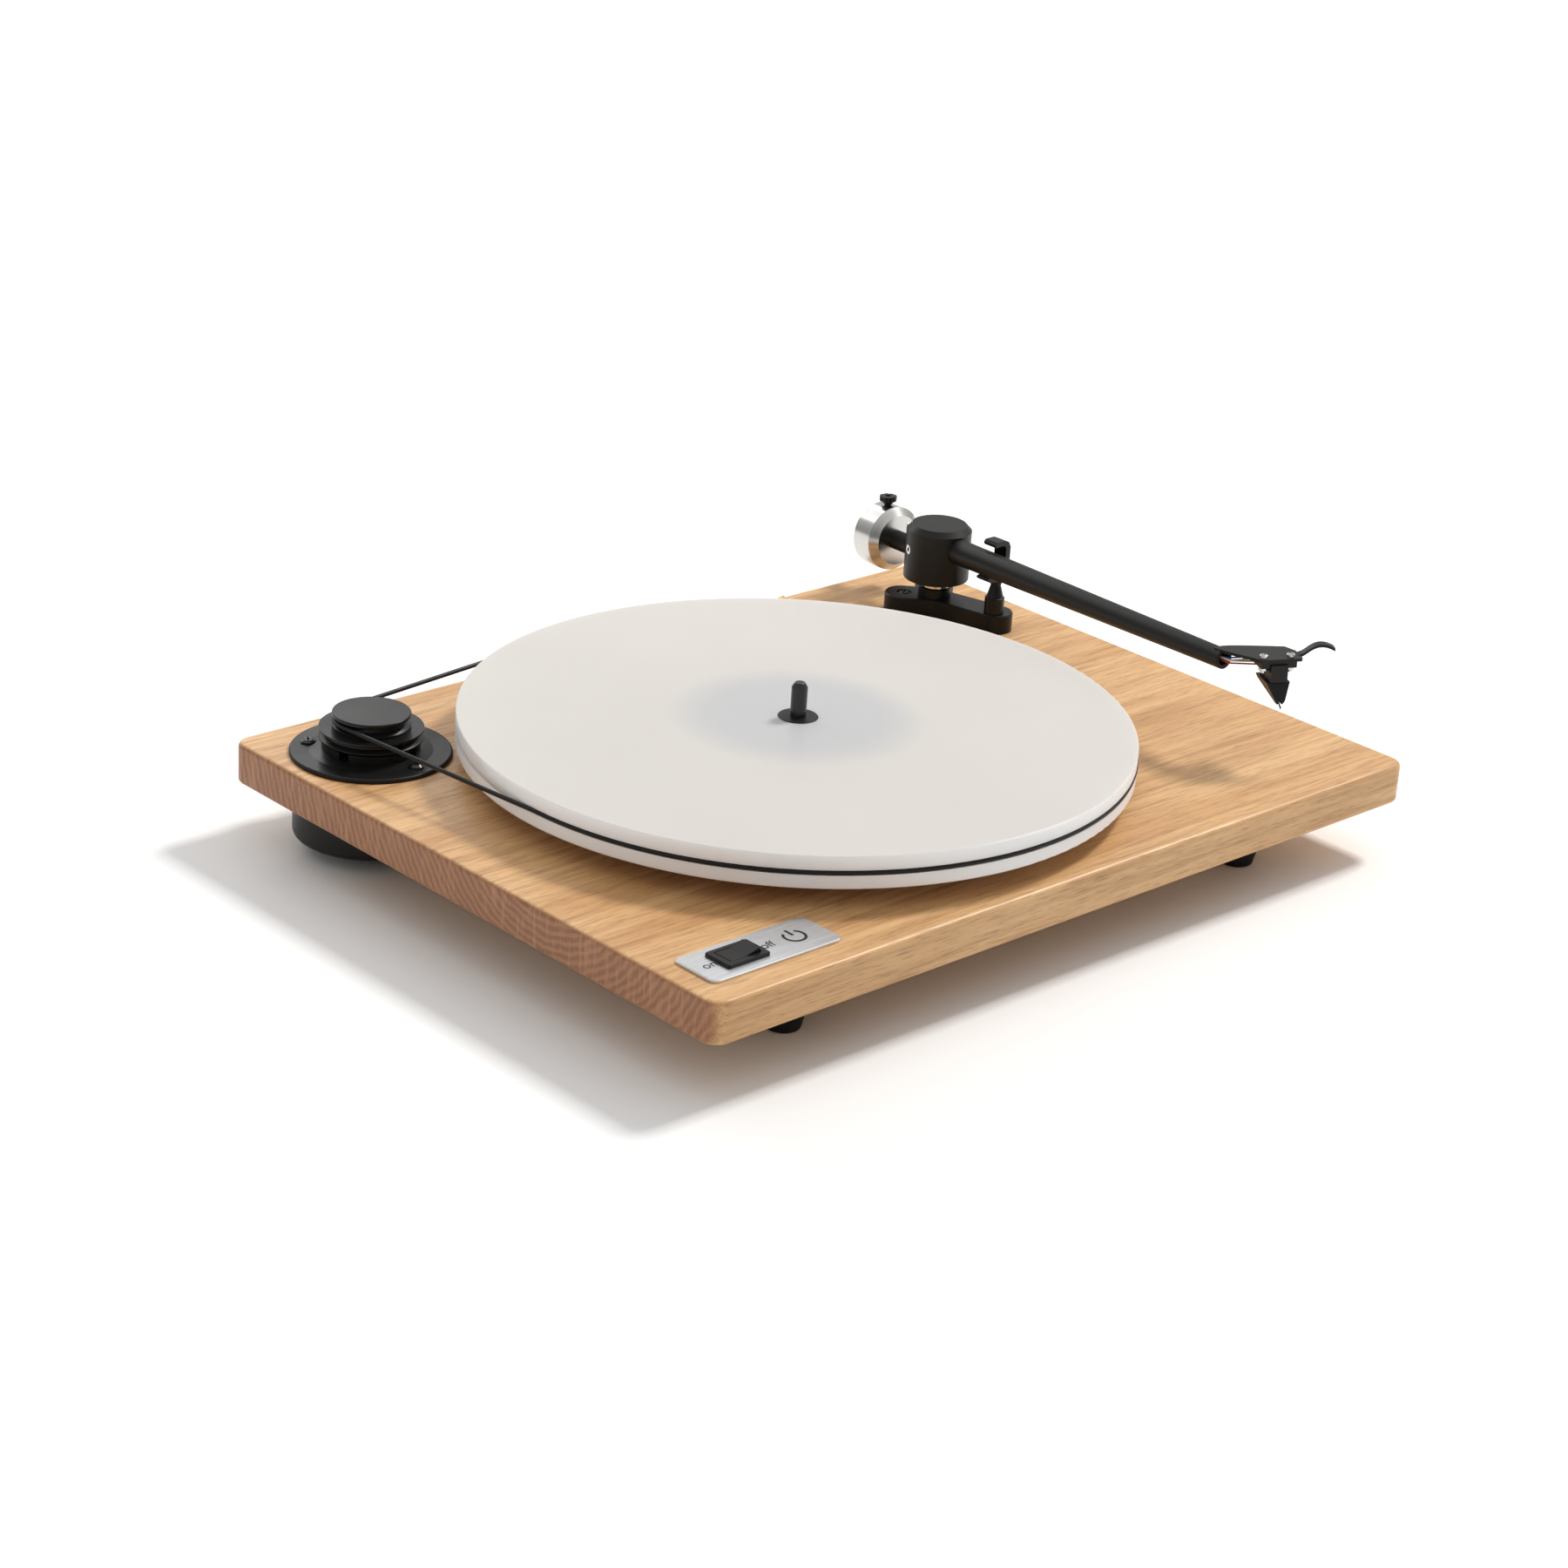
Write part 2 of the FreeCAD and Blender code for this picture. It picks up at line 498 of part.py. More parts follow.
# ---- yaw bearing: collar outside, trunnion block inside the drum -------------
collar_low = top_z + boss_top + move_gap
collar_high = top_z + drum_low - move_gap
yoke_r = 8.0
yoke_low = top_z + 26.0
yoke_high = top_z + 39.6
yaw = ring(collar_r, post_r + run_gap, collar_high - collar_low, pivot_x, pivot_y, collar_low)
yaw = yaw.makeChamfer(0.4, [e for e in edgesAt(yaw, collar_low) if e.BoundBox.XLength > 10])
neck = ring(6.0, post_r + run_gap, yoke_low - collar_low, pivot_x, pivot_y, collar_low)
block = cyl(yoke_r, yoke_high - yoke_low, pivot_x, pivot_y, yoke_low)
block = block.cut(cyl(post_r + run_gap, post_high - 2.0 - yoke_low + 0.3, pivot_x, pivot_y, yoke_low))
block = block.cut(cone(post_r + run_gap, 0.9, 2.0, pivot_x, pivot_y, post_high - 2.0 + 0.3))
pitch_z = top_z + pitch_rise
bear = V(math.cos(math.radians(bearing_turn)), math.sin(math.radians(bearing_turn)), 0)
pin_r = 1.6
for side in (1, -1):
    d = V(bear.x * side, bear.y * side, 0)
    block = block.cut(cyl(pin_r + run_gap, 4.0, pivot_x + d.x * 5.2, pivot_y + d.y * 5.2, pitch_z, d))
nodes["yaw_bearing"] = fuseAll([yaw, neck, block])

# ---- drum -------------------------------------------------------------------
drum_low_z = top_z + drum_low
drum_high_z = top_z + drum_high
drum = cyl(drum_r, drum_high_z - drum_low_z, pivot_x, pivot_y, drum_low_z)
drum = drum.makeChamfer(2.6, edgesAt(drum, drum_high_z))
drum = drum.makeFillet(0.5, edgesAt(drum, drum_low_z))
drum = drum.cut(cyl(drum_cavity_r, 22.8, pivot_x, pivot_y, drum_low_z - 0.8))
arm_place = FreeCAD.Placement(V(pivot_x, pivot_y, top_z + arm_rise),
                              FreeCAD.Rotation(up, arm_yaw).multiply(FreeCAD.Rotation(V(1, 0, 0), -arm_pitch)))


def placeArm(shape):
    # from the arm's own frame (tube along -Y from the pivot) to its place on the plinth
    body = shape.copy()
    body.Placement = arm_place.multiply(body.Placement)
    return body


tube_in = drum_cavity_r + 0.6
tube_slope = (tube_big_r - tube_small_r) / (tube_length - drum_r)
tube_start_r = tube_big_r + tube_slope * (drum_r - tube_in)
tube_len = tube_length - tube_in
tube = cone(tube_start_r, tube_small_r, tube_len, 0, -tube_in, 0, V(0, -1, 0))
bore = cone(tube_start_r - tube_wall, tube_small_r - tube_wall, tube_len + 0.02, 0, -tube_in + 0.01, 0, V(0, -1, 0))
tube = tube.cut(bore)
stub = cyl(stub_r, stub_end - tube_in, 0, tube_in, -stub_drop, V(0, 1, 0))
stub = stub.makeChamfer(0.5, [e for e in stub.Edges if abs(e.BoundBox.YMin - stub_end) < 1e-3
                              and abs(e.BoundBox.YMax - stub_end) < 1e-3])
hole_front = cone(tube_start_r + seat_gap, tube_small_r + seat_gap, tube_len, 0, -tube_in, 0, V(0, -1, 0))
hole_front = hole_front.fuse(cyl(tube_start_r + seat_gap, 0.5, 0, -tube_in + 0.4, 0, V(0, -1, 0)))
hole_back = cyl(stub_r + seat_gap, 40, 0, tube_in, -stub_drop, V(0, 1, 0))
drum = drum.cut(placeArm(hole_front)).cut(placeArm(hole_back))
pins = []
for side in (1, -1):
    d = V(bear.x * side, bear.y * side, 0)
    drum = drum.cut(cyl(2.4 + seat_gap, 12, pivot_x + d.x * 10, pivot_y + d.y * 10, pitch_z, d))
    pin = cyl(pin_r, 3.6, pivot_x + d.x * 5.6, pivot_y + d.y * 5.6, pitch_z, d)
    pin = pin.fuse(cyl(2.4, drum_r - 0.2 - 9.2, pivot_x + d.x * 9.2, pivot_y + d.y * 9.2, pitch_z, d))
    pin = pin.cut(cyl(1.1, 3, pivot_x + d.x * (drum_r - 2.4), pivot_y + d.y * (drum_r - 2.4), pitch_z, d))
    pins.append(pin)
nodes["drum"] = drum
nodes["pitch_pins"] = Part.makeCompound(pins)
nodes["arm_tube"] = placeArm(tube)
nodes["weight_stub"] = placeArm(stub)

# ---- counterweight and thumbscrew -------------------------------------------
weight = cyl(weight_r, weight_back - weight_front - weight_taper, 0, weight_front + weight_taper, -stub_drop,
             V(0, 1, 0))
weight = weight.fuse(cone(weight_face_r, weight_r, weight_taper, 0, weight_front, -stub_drop, V(0, 1, 0)))
weight = weight.makeFillet(0.6, [e for e in weight.Edges if abs(e.BoundBox.YMin - weight_back) < 1e-3
                                 and abs(e.BoundBox.YMax - weight_back) < 1e-3])
weight = weight.cut(cyl(stub_r + run_gap, 30, 0, weight_front - 5, -stub_drop, V(0, 1, 0)))
knob_y = 40.2
seat_z = -stub_drop + weight_r
thread_r = 1.5
weight = weight.cut(cyl(thread_r + run_gap, 20, 0, knob_y, -stub_drop + 2, up))
nodes["counterweight"] = placeArm(weight)
knob = cyl(4.3, 2.4, 0, knob_y, seat_z + 2.2)
for i in range(8):
    a = math.radians(45 * i)
    knob = knob.cut(cyl(0.8, 6, 4.6 * math.cos(a), knob_y + 4.6 * math.sin(a), seat_z + 1.8))
knob = knob.fuse(cone(2.0, 3.8, 1.8, 0, knob_y, seat_z + 0.4))
knob = knob.cut(cyl(1.5, 1.0, 0, knob_y, seat_z + 4.0))
knob = knob.fuse(cyl(thread_r, seat_z + 3.0 + stub_drop - stub_r - 0.4, 0, knob_y, -stub_drop + stub_r + 0.4))
nodes["thumbscrew"] = placeArm(knob)

# ---- headshell --------------------------------------------------------------
off = math.radians(offset_angle)
fu = -math.sin(off)
fv = math.cos(off)
gu = math.cos(off)
gv = math.sin(off)


def cart(g, f):
    # from across (g) and along (f) the pickup to the arm's own x, y
    return (screw_mid_u + g * gu + f * fu, -(screw_mid_v + g * gv + f * fv))


spigot_r = tube_small_r - tube_wall - run_gap
ringlet = cyl(tube_small_r, 6.0, 0, -tube_length - 0.05, 0, V(0, -1, 0))
ringlet = ringlet.fuse(cyl(spigot_r, 7.0, 0, -tube_length + 6.9, 0, V(0, -1, 0)))
ringlet = ringlet.cut(cyl(spigot_r - 0.7, 20, 0, -tube_length + 8, 0, V(0, -1, 0)))
plate_low = plate_top - plate_thick
outline = [(-2.6, -tube_length - 2.0), (-1.6, -tube_length - 8.0), cart(-9.1, 1.8), cart(-8.0, 3.3),
           cart(10.4, 3.3), cart(11.2, 2.4), cart(11.6, -8.0), cart(8.6, -14.0), (12.4, -tube_length - 7.6),
           (6.2, -tube_length - 3.6), (2.6, -tube_length - 2.0)]
shell_plate = slab(outline, plate_low, plate_top)
screw_spots = [cart(-screw_pitch / 2, 0), cart(screw_pitch / 2, 0)]
lift_dir = V(math.cos(math.radians(-35)), math.sin(math.radians(-35)), 0)
lift_at = cart(9.4, -4.0)
mid_low = [(0, 0), (4.5, 1.4), (8.0, 4.0), (12.0, 5.2), (15.5, 4.6), (18.0, 3.4)]
lift_pts = [(s, z) for s, z in mid_low]
upper = [V(s, 0, z + 1.4) for s, z in lift_pts]
lower = [V(s, 0, z) for s, z in lift_pts]
curve_a = Part.BSplineCurve()
curve_a.interpolate(lower)
curve_b = Part.BSplineCurve()
curve_b.interpolate(upper)
loop = Part.Wire([curve_a.toShape(), Part.makeLine(lower[-1], upper[-1]), curve_b.toShape(),
                  Part.makeLine(upper[0], lower[0])])
lift = Part.Face(loop).extrude(V(0, 4.6, 0))
lift.translate(V(0, -2.3, 0))
lift.rotate(V(0, 0, 0), up, -35)
lift.translate(V(lift_at[0], lift_at[1], plate_low))
headshell = fuseAll([ringlet, shell_plate, lift])
for sx, sy in screw_spots:
    headshell = headshell.cut(cyl(1.25 + seat_gap, 6, sx, sy, plate_low - 2))
headshell = headshell.cut(cyl(spigot_r - 0.7, 8, 0, -tube_length + 1, 0, V(0, -1, 0)))
nodes["headshell"] = placeArm(headshell)

# ---- pickup -----------------------------------------------------------------
block_low = plate_low - 4.6


def cartBox(g1, g2, f1, f2, z1, z2):
    return slab([cart(g1, f1), cart(g2, f1), cart(g2, f2), cart(g1, f2)], z1, z2)


pick = cartBox(-8.4, 8.4, -6.5, 3.2, block_low, plate_low - seat_gap)
pick = pick.fuse(cartBox(-4.0, 4.0, -9.0, 4.4, block_low - 4.5, plate_low - 1.2))
for side in (-1, 1):
    inner = sorted((side * 4.3, side * 12.0))
    pick = pick.cut(cartBox(inner[0], inner[1], -12.0, 8.0, block_low - 6.0, block_low + 1.8))
for sx, sy in screw_spots:
    pick = pick.cut(cyl(1.25 + seat_gap, 20, sx, sy, block_low - 8))
nodes["pickup_body"] = placeArm(pick)
wedge_top = block_low - 4.5 - seat_gap
tip_z = plate_top - 21.8
wedge_low = tip_z + 2.3
side_view = [(-10.5, wedge_top), (3.6, wedge_top), (8.0, wedge_low + 1.6), (7.6, wedge_low), (5.4, wedge_low + 0.2),
             (-10.5, wedge_top - 2.2)]


def cartPoint(g, f, z):
    x, y = cart(g, f)
    return V(x, y, z)


pts = [cartPoint(-6.0, f, z) for f, z in side_view]
wedge = Part.Face(Part.makePolygon(pts + [pts[0]])).extrude(V(12.0 * gu, -12.0 * gv, 0))
front_view = [(-5.6, wedge_top + 0.1), (5.6, wedge_top + 0.1), (1.5, wedge_low - 0.1), (-1.5, wedge_low - 0.1)]
pts = [cartPoint(g, -12.0, z) for g, z in front_view]
taper = Part.Face(Part.makePolygon(pts + [pts[0]])).extrude(V(24.0 * fu, -24.0 * fv, 0))
wedge = wedge.common(taper)
notch = cartBox(-0.6, 0.6, 5.2, 12.0, wedge_low - 2, wedge_low + 1.6)
wedge = wedge.cut(notch)
start = cartPoint(0, 4.8, wedge_low + 1.0)
end = cartPoint(0, 8.9, tip_z + 0.9)
lever = Part.makeCylinder(0.35, (end - start).Length, start, end - start)
diamond = cone(0.05, 0.34, 1.2, end.x, end.y, tip_z)
nodes["stylus"] = placeArm(fuseAll([wedge, lever, diamond]))
screws = []
nuts = []
for i, (sx, sy) in enumerate(screw_spots):
    cap = cyl(1.95, 1.5, sx, sy, plate_top)
    cap = cap.makeFillet(0.45, edgesAt(cap, plate_top + 1.5))
    slot = box(-3, 3, -0.3, 0.3, plate_top + 0.8, plate_top + 3)
    slot.rotate(V(0, 0, 0), up, 25 + 50 * i)
    slot.translate(V(sx, sy, 0))
    cap = cap.cut(slot)
    shank_low = block_low + 1.8 - 2.6
    screws.append(cap.fuse(cyl(1.25, plate_top - shank_low, sx, sy, shank_low)))
    nut = hexagon(2.1, 1.5, sx, sy, block_low + 1.8 - 1.5, 24.0).cut(cyl(1.25 + seat_gap, 6, sx, sy, block_low - 3))
    nuts.append(nut)
nodes["pickup_screws"] = placeArm(Part.makeCompound(screws))
nodes["pickup_nuts"] = placeArm(Part.makeCompound(nuts))
clips = []
clip_ends = []
for g in (-2.0, 2.0):
    for z in (block_low - 3.1, block_low - 0.4):
        a = cartPoint(g, -8.6, z)
        d = V(-fu, fv, 0)
        body = Part.makeCylinder(0.85, 5.0, cartPoint(g, -10.2, z), d)
        clips.append(body.fuse(Part.makeCylinder(0.45, 1.18, cartPoint(g, -9.02, z), d)))
        clip_ends.append(cartPoint(g, -15.2, z))
nodes["pickup_clips"] = placeArm(Part.makeCompound(clips))
wire_r = 0.4
for i, name in enumerate(("red", "green", "white", "blue")):
    g = (i % 2) * 1.3 - 0.65
    h = (i // 2) * 1.3 - 0.65
    inside = V(g, -tube_length - 2.0, h)
    leave = V(g * 1.4 + 0.6, -tube_length - 10.2 + 2.8 * (i % 2), h)
    stop = clip_ends[(0, 2, 1, 3)[i]]
    near = stop + V(-fu, fv, 0) * (2.0 + 3.3 * (i % 2))
    route = [inside, leave, near, stop]
    wire = Part.makeSphere(wire_r, leave).fuse(Part.makeSphere(wire_r, near))
    for a, b in zip(route, route[1:]):
        wire = wire.fuse(Part.makeCylinder(wire_r, (b - a).Length, a, b - a))
    wire = wire.removeSplitter()
    nodes["wire_" + name] = placeArm(wire)

# ---- arm rest ---------------------------------------------------------------
rest = cyl(4.8, 8.2, rest_x, rest_y, base_top)
rest = rest.makeFillet(0.5, edgesAt(rest, base_top + 8.2))
rest = rest.fuse(cyl(2.5, base_thick + 8.0, rest_x, rest_y, base_top - base_thick - 8.0))
jaw_along = math.hypot(pivot_x - rest_x, pivot_y - rest_y)
yaw_dir = V(math.sin(math.radians(arm_yaw)), -math.cos(math.radians(arm_yaw)), 0)
along = (pivot_y - rest_y) / math.cos(math.radians(arm_yaw))
tube_x = pivot_x + yaw_dir.x * along
tube_here_r = tube_big_r - tube_slope * (along - drum_r)
tube_z = top_z + arm_rise + along * math.tan(math.radians(arm_pitch))
jaw_top = tube_z - tube_here_r - move_gap - 0.1
curl_low = tube_z + tube_here_r + 2.4
wall_in = tube_x + tube_here_r + 2.4
deep = 3.9
claw_forward = 2.1
rest = rest.fuse(cone(4.2, 2.5, 6.0, rest_x, rest_y, base_top + 8.2))
rest = rest.fuse(cone(2.5, 3.8, jaw_top - 2.8 - (base_top + 14.2), rest_x, rest_y, base_top + 14.2))
jaw = [(tube_x - 2.0, jaw_top), (tube_x - 2.6, jaw_top - 1.2), (tube_x - 0.5, jaw_top - 2.4),
       (rest_x - 2.0, jaw_top - 3.0), (rest_x + 3.4, jaw_top - 3.0), (rest_x + 4.4, jaw_top - 1.0),
       (wall_in + 3.0, jaw_top + 3.0), (wall_in + 3.0, curl_low - 1.0), (wall_in + 1.6, curl_low + 1.6),
       (wall_in - 1.0, curl_low + 2.6), (tube_x + 2.0, curl_low + 2.6), (tube_x + 0.6, curl_low + 1.4),
       (tube_x + 1.2, curl_low), (wall_in - 1.6, curl_low + 0.2), (wall_in, curl_low - 1.4),
       (wall_in, jaw_top + 1.6), (wall_in - 1.6, jaw_top)]
pts = [V(x, rest_y - claw_forward - deep, z) for x, z in jaw]
claw = Part.Face(Part.makePolygon(pts + [pts[0]])).extrude(V(0, 2 * deep, 0))
rest = rest.fuse(claw).removeSplitter()
nodes["arm_rest"] = rest

shift = V(0, -socket_reach / 2, 0)
os.makedirs("parts", exist_ok=True)
for name, shape in nodes.items():
    shape = shape.copy()
    shape.translate(shift)
    shape.exportStep("parts/" + name + ".step")
    good = "ok" if shape.isValid() else "INVALID"
    print(name, good, len(shape.Solids), round(shape.Volume, 1))
print("shift", shift)
print("coupling", belt_on_platter_r / belt_on_pulley_r, "tip", placeArm(diamond).BoundBox.ZMin,
      "pitch", pivot_x, pivot_y, pitch_z, bear, "rock", bezel_x, switch_y, rock_z)
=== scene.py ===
import bpy
import bmesh
import math
from mathutils import Matrix, Vector


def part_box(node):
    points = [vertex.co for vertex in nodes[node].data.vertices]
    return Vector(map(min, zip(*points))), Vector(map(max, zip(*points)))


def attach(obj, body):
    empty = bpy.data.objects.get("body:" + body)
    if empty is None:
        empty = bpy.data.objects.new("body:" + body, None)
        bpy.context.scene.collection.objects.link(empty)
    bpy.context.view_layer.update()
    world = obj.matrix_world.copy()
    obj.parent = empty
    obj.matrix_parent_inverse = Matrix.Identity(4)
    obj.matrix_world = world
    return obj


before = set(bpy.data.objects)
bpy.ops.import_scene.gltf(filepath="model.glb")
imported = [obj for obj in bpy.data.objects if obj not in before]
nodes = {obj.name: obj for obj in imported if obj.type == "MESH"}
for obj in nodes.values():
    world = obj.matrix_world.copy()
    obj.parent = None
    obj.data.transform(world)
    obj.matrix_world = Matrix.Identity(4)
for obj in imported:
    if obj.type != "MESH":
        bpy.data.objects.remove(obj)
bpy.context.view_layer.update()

print("frame loaded", len(nodes), "nodes")


# materials: small helpers that wire shader nodes

def newMaterial(name):
    mat = bpy.data.materials.new(name)
    mat.use_nodes = True
    tree = mat.node_tree
    tree.nodes.clear()
    out = tree.nodes.new("ShaderNodeOutputMaterial")
    shader = tree.nodes.new("ShaderNodeBsdfPrincipled")
    tree.links.new(shader.outputs["BSDF"], out.inputs["Surface"])
    return mat, tree, shader


def add(tree, kind, **values):
    node = tree.nodes.new(kind)
    for key, value in values.items():
        setattr(node, key, value)
    return node


# a socket is linked, a constant is set; a colour gets its alpha here
def feed(tree, socket, value):
    if hasattr(value, "is_output"):
        tree.links.new(value, socket)
    elif socket.type == "RGBA":
        socket.default_value = (*value, 1.0)
    else:
        socket.default_value = value


def feedAll(tree, sockets, values):
    for key, value in values.items():
        feed(tree, sockets[key], value)


def mixColour(tree, fac, a, b):
    mix = add(tree, "ShaderNodeMix", data_type="RGBA")
    feedAll(tree, mix.inputs, {0: fac, 6: a, 7: b})
    return mix.outputs[2]


def spread(tree, value, low, high, toLow=0.0, toHigh=1.0, shape="LINEAR"):
    node = add(tree, "ShaderNodeMapRange", interpolation_type=shape)
    feedAll(tree, node.inputs, {0: value, 1: low, 2: high, 3: toLow, 4: toHigh})
    return node.outputs[0]


def calc(tree, operation, *values):
    node = add(tree, "ShaderNodeMath", operation=operation)
    feedAll(tree, node.inputs, dict(enumerate(values)))
    return node.outputs[0]


def onObject(tree):
    return add(tree, "ShaderNodeTexCoord").outputs["Object"]


def mapped(tree, vector, scale=(1, 1, 1), move=(0, 0, 0), turn=(0, 0, 0)):
    node = add(tree, "ShaderNodeMapping")
    feedAll(tree, node.inputs, {"Vector": vector, "Location": move, "Rotation": turn, "Scale": scale})
    return node.outputs[0]


def placed(tree, **values):
    return mapped(tree, onObject(tree), **values)


def noise(tree, vector, scale, detail=4.0, rough=0.55, twist=0.0):
    node = add(tree, "ShaderNodeTexNoise")
    feedAll(tree, node.inputs, {"Vector": vector, "Scale": scale, "Detail": detail, "Roughness": rough,
                                "Distortion": twist})
    return node.outputs["Fac"]


def separated(tree, vector):
    node = add(tree, "ShaderNodeSeparateXYZ")
    feed(tree, node.inputs[0], vector)
    return node.outputs


def joined(tree, **parts):
    node = add(tree, "ShaderNodeCombineXYZ")
    feedAll(tree, node.inputs, parts)
    return node.outputs[0]


# distance from the Z axis, and the height along it
def fromAxis(tree, vector):
    parts = separated(tree, vector)
    length = add(tree, "ShaderNodeVectorMath", operation="LENGTH")
    feed(tree, length.inputs[0], joined(tree, X=parts["X"], Y=parts["Y"]))
    return length.outputs["Value"], parts["Z"]


def facing(tree, axis):
    return separated(tree, add(tree, "ShaderNodeNewGeometry").outputs["Normal"])[axis]


def bump(tree, shader, height, strength, distance):
    node = add(tree, "ShaderNodeBump")
    feedAll(tree, node.inputs, {"Strength": strength, "Distance": distance, "Height": height})
    feed(tree, shader.inputs["Normal"], node.outputs[0])


# shared effects: node groups, each built once

def newGroup(name, inputs, outputs):
    group = bpy.data.node_groups.new(name, "ShaderNodeTree")
    for label, value in inputs.items():
        kind = "NodeSocketFloat" if isinstance(value, float) else "NodeSocketVector"
        socket = group.interface.new_socket(name=label, in_out="INPUT", socket_type=kind)
        socket.default_value = value
    for label in outputs:
        group.interface.new_socket(name=label, in_out="OUTPUT", socket_type="NodeSocketFloat")
    return group, add(group, "NodeGroupInput").outputs, add(group, "NodeGroupOutput").inputs


def useGroup(tree, group, values):
    node = add(tree, "ShaderNodeGroup")
    node.node_tree = group
    feedAll(tree, node.inputs, values)
    return node.outputs


# fine surface unevenness with a little dust and handling
def makeFinishGroup():
    group, into, out = newGroup("surfaceFinish",
                                {"Grain Size": 900.0, "Cloud Size": 20.0, "Rough Low": 0.4, "Rough High": 0.5},
                                ("Grain", "Roughness", "Cloud"))
    where = onObject(group)
    cloud = noise(group, where, into["Cloud Size"], 4.0, 0.5)
    feedAll(group, out, {"Grain": noise(group, where, into["Grain Size"], 3.0, 0.5), "Cloud": cloud,
                         "Roughness": spread(group, cloud, 0.3, 0.7, into["Rough Low"], into["Rough High"])})
    return group


# what the brushed and the turned metals have in common once their marks are drawn
metalOutputs = ("Marks", "Tone", "Roughness")


def finishMetal(group, into, out, marks):
    feedAll(group, out, {"Marks": marks, "Tone": spread(group, marks, 0.3, 0.7),
                         "Roughness": spread(group, marks, 0.25, 0.75, into["Rough Low"], into["Rough High"])})
    return group


# straight streaks, long where the stretch is small
def makeBrushedGroup():
    group, into, out = newGroup("brushedStreaks", {"Stretch": (1.0, 1.0, 1.0), "Streak Size": 50.0, "Rough Low": 0.2,
                                                   "Rough High": 0.3}, metalOutputs)
    marks = noise(group, placed(group, scale=into["Stretch"]), into["Streak Size"], 5.0, 0.6)
    return finishMetal(group, into, out, marks)


# lathe marks: fine rings about an axis, which the turn brings upright
def makeTurnedGroup():
    group, into, out = newGroup("latheRings", {"Shift": (0.0, 0.0, 0.0), "Turn": (0.0, 0.0, 0.0), "Ring Size": 2600.0,
                                               "Rough Low": 0.2, "Rough High": 0.3}, metalOutputs)
    distance, height = fromAxis(group, mapped(group, placed(group, move=into["Shift"]), turn=into["Turn"]))
    marks = noise(group, joined(group, X=distance, Z=height), into["Ring Size"], 3.0, 0.6)
    return finishMetal(group, into, out, marks)


finishGroup = makeFinishGroup()
brushedGroup = makeBrushedGroup()
turnedGroup = makeTurnedGroup()


def coatedMaterial(name, dark, light, roughLow, roughHigh, grain=1400.0, relief=0.00004, strength=0.35, specular=0.5):
    mat, tree, shader = newMaterial(name)
    finish = useGroup(tree, finishGroup, {"Grain Size": grain, "Cloud Size": 26.0, "Rough Low": roughLow,
                                          "Rough High": roughHigh})
    feedAll(tree, shader.inputs, {"Base Color": mixColour(tree, finish["Cloud"], dark, light),
                                  "Roughness": finish["Roughness"], "Specular IOR Level": specular})
    bump(tree, shader, finish["Grain"], strength, relief)
    return mat


def metalMaterial(name, dark, light, group, values, strength, relief):
    mat, tree, shader = newMaterial(name)
    finish = useGroup(tree, group, values)
    feedAll(tree, shader.inputs, {"Base Color": mixColour(tree, finish["Tone"], dark, light),
                                  "Roughness": finish["Roughness"], "Metallic": 1.0})
    bump(tree, shader, finish["Marks"], strength, relief)
    return mat


def brushedMaterial(name, dark, light, roughLow, roughHigh, stretch, scale):
    values = {"Stretch": stretch, "Streak Size": scale, "Rough Low": roughLow, "Rough High": roughHigh}
    return metalMaterial(name, dark, light, brushedGroup, values, 0.3, 0.00003)


def turnedMaterial(name, dark, light, roughLow, roughHigh, node, axis, rings=2600.0):
    low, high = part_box(node)
    mid = (low + high) / 2
    turn = Vector(axis).rotation_difference(Vector((0, 0, 1))).to_euler()
    values = {"Shift": tuple(-mid), "Turn": tuple(turn), "Ring Size": rings, "Rough Low": roughLow,
              "Rough High": roughHigh}
    return metalMaterial(name, dark, light, turnedGroup, values, 0.15, 0.00002)


# oak: long grain along X, open pores on the faces, redder end grain on the ends
oakSizes = {
    "lightTone": (0.76, 0.475, 0.225),
    "midTone": (0.60, 0.325, 0.132),
    "warmTone": (0.68, 0.41, 0.19),
    "streakTone": (0.36, 0.165, 0.058),
    "poreTone": (0.23, 0.095, 0.034),
    "endTone": (0.30, 0.122, 0.052),
    "endLight": (0.41, 0.185, 0.085),
    "rayTone": (0.54, 0.27, 0.135),
    "boardWidth": 0.085,
}


